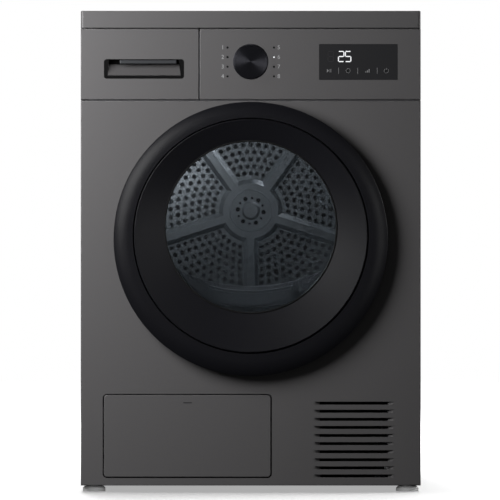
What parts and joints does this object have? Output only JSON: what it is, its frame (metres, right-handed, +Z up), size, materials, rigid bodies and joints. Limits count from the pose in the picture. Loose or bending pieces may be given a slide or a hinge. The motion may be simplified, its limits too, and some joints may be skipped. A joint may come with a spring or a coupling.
{
  "type": "clothes dryer",
  "caption": "Front-loading heat-pump clothes dryer: dark silver cabinet, round black door with a window, turning drum, pull-out water tank, control knob and lower access door.",
  "frame": {"origin": "centre of the overall box, on the floor", "axes": "+Z up, -Y out of the front (door side), +X to the right seen from the front"},
  "size_m": [0.6, 0.69, 0.85],
  "materials": {
    "cabinet_paint": "satin dark silver enamel on pressed sheet steel",
    "silver_plastic": "satin dark silver lacquer on moulded plastic",
    "black_gloss": "polished black moulding",
    "black_plastic": "fine-grained black moulding",
    "foot_plastic": "pale grey moulding",
    "knob_black": "black knob with a spun face",
    "display_black": "smoked display lens",
    "lens_dark": "small tinted light guides",
    "door_glass": "lightly tinted toughened glass",
    "bowl_glass": "clear pressed glass",
    "stainless": "brushed stainless steel",
    "bright_steel": "turned steel",
    "galvanised": "galvanised sheet steel",
    "grey_plastic": "mid grey moulding",
    "tank_plastic": "milky blow-moulded plastic",
    "black_rubber": "soft black rubber",
    "felt": "pressed wool felt",
    "copper": "drawn copper tube",
    "fins": "stacked aluminium fins",
    "enamel_black": "black enamelled steel can",
    "board_green": "fibre-glass circuit board"
  },
  "bodies": {
    "cabinet": {"access_hinge": "grey_plastic", "base_tray": "grey_plastic", "blower_housing": "grey_plastic", "compressor": "enamel_black", "control_board": "board_green", "control_fascia": "silver_plastic", "display_glass": "display_black", "door_catch": "black_plastic", "drain_hose": "black_rubber", "drain_nozzle": "grey_plastic", "drain_pump": "grey_plastic", "drive_belt": "black_rubber", "drum_seals": "felt", "exchanger_cover": "grey_plastic", "front_bulkhead": "grey_plastic", "front_panel": "cabinet_paint", "heat_exchangers": "fins", "hinge_bracket": "bright_steel", "idler_spring": "bright_steel", "indicator_lenses": "lens_dark", "left_side_panel": "cabinet_paint", "levelling_feet": "foot_plastic", "mains_inlet": "black_plastic", "motor": "galvanised", "motor_bracket": "galvanised", "rear_bearing": "bright_steel", "rear_cover": "galvanised", "rear_duct": "grey_plastic", "rear_panel": "galvanised", "rear_screws": "bright_steel", "refrigerant_pipes": "copper", "right_side_panel": "cabinet_paint", "sensor_bars": "stainless", "tank_bay": "grey_plastic", "worktop": "cabinet_paint"},
    "door": {"door_ring": "black_gloss", "door_funnel": "black_gloss", "door_window": "door_glass", "door_liner": "black_plastic", "door_bowl": "bowl_glass", "door_seal": "black_rubber", "door_hook": "black_plastic", "hinge_leaf": "bright_steel"},
    "drum": {"drum_shell": "stainless", "drum_back": "stainless", "drum_lifters": "grey_plastic", "drum_shaft": "bright_steel"},
    "tank": {"tank_front": "silver_plastic", "tank_body": "tank_plastic"},
    "access": {"access_door": "silver_plastic"},
    "lever_left": {"cover_lever_left": "grey_plastic"},
    "lever_right": {"cover_lever_right": "grey_plastic"},
    "knob": {"program_knob": "knob_black"},
    "drive": {"motor_pulley": "bright_steel", "blower_wheel": "grey_plastic"},
    "tensioner": {"idler_arm": "galvanised"},
    "idler": {"idler_pulley": "black_plastic"},
    "left_roller": {"roller_left": "black_rubber"},
    "right_roller": {"roller_right": "black_rubber"},
    "filter": {"lint_filter": "grey_plastic"}
  },
  "joints": [
    {"name": "door_hinge", "type": "hinge", "parent": "cabinet", "child": "door", "pos_m": [0.2335, -0.326, 0.447], "axis": [0, 0, 1], "range_deg": [0, 110]},
    {"name": "knob_turn", "type": "hinge", "parent": "cabinet", "child": "knob", "pos_m": [0, -0.322, 0.7595], "axis": [0, 1, 0], "continuous": true},
    {"name": "tank_slide", "type": "slide", "parent": "cabinet", "child": "tank", "axis": [0, -1, 0], "range_m": [0, 0.36]},
    {"name": "access_hinge", "type": "hinge", "parent": "cabinet", "child": "access", "pos_m": [-0.112, -0.305, 0.0362], "axis": [1, 0, 0], "range_deg": [0, 90]},
    {"name": "lever_left_turn", "type": "hinge", "parent": "cabinet", "child": "lever_left", "pos_m": [-0.20425, -0.271, 0.0995], "axis": [0, 1, 0], "range_deg": [0, 90]},
    {"name": "lever_right_turn", "type": "hinge", "parent": "cabinet", "child": "lever_right", "pos_m": [-0.01975, -0.271, 0.0995], "axis": [0, 1, 0], "range_deg": [0, 90]},
    {"name": "drum_spin", "type": "hinge", "parent": "cabinet", "child": "drum", "pos_m": [0, 0, 0.502], "axis": [0, 1, 0], "continuous": true},
    {"name": "drive_spin", "type": "hinge", "parent": "cabinet", "child": "drive", "pos_m": [0.135, 0.2, 0.13], "axis": [0, 1, 0], "continuous": true},
    {"name": "tensioner_pivot", "type": "hinge", "parent": "cabinet", "child": "tensioner", "pos_m": [0.235, 0.143, 0.15], "axis": [0, 1, 0], "range_deg": [0, 12], "stiffness_Nm_per_rad": 2, "springref_deg": -20.05},
    {"name": "idler_spin", "type": "hinge", "parent": "tensioner", "child": "idler", "pos_m": [0.20453, 0.138, 0.22817], "axis": [0, 1, 0], "continuous": true},
    {"name": "roller_left_spin", "type": "hinge", "parent": "cabinet", "child": "left_roller", "pos_m": [-0.17052, -0.24, 0.25847], "axis": [0, 1, 0], "continuous": true},
    {"name": "roller_right_spin", "type": "hinge", "parent": "cabinet", "child": "right_roller", "pos_m": [0.17052, -0.24, 0.25847], "axis": [0, 1, 0], "continuous": true},
    {"name": "filter_lift", "type": "slide", "parent": "cabinet", "child": "filter", "axis": [0, 0, 1], "range_m": [0, 0.11]}
  ],
  "couplings": [
    {"joint": "drive_spin", "follows": "drum_spin", "ratio": 26.213},
    {"joint": "idler_spin", "follows": "drum_spin", "ratio": -16.71},
    {"joint": "roller_left_spin", "follows": "drum_spin", "ratio": -12.5},
    {"joint": "roller_right_spin", "follows": "drum_spin", "ratio": -12.5}
  ]
}
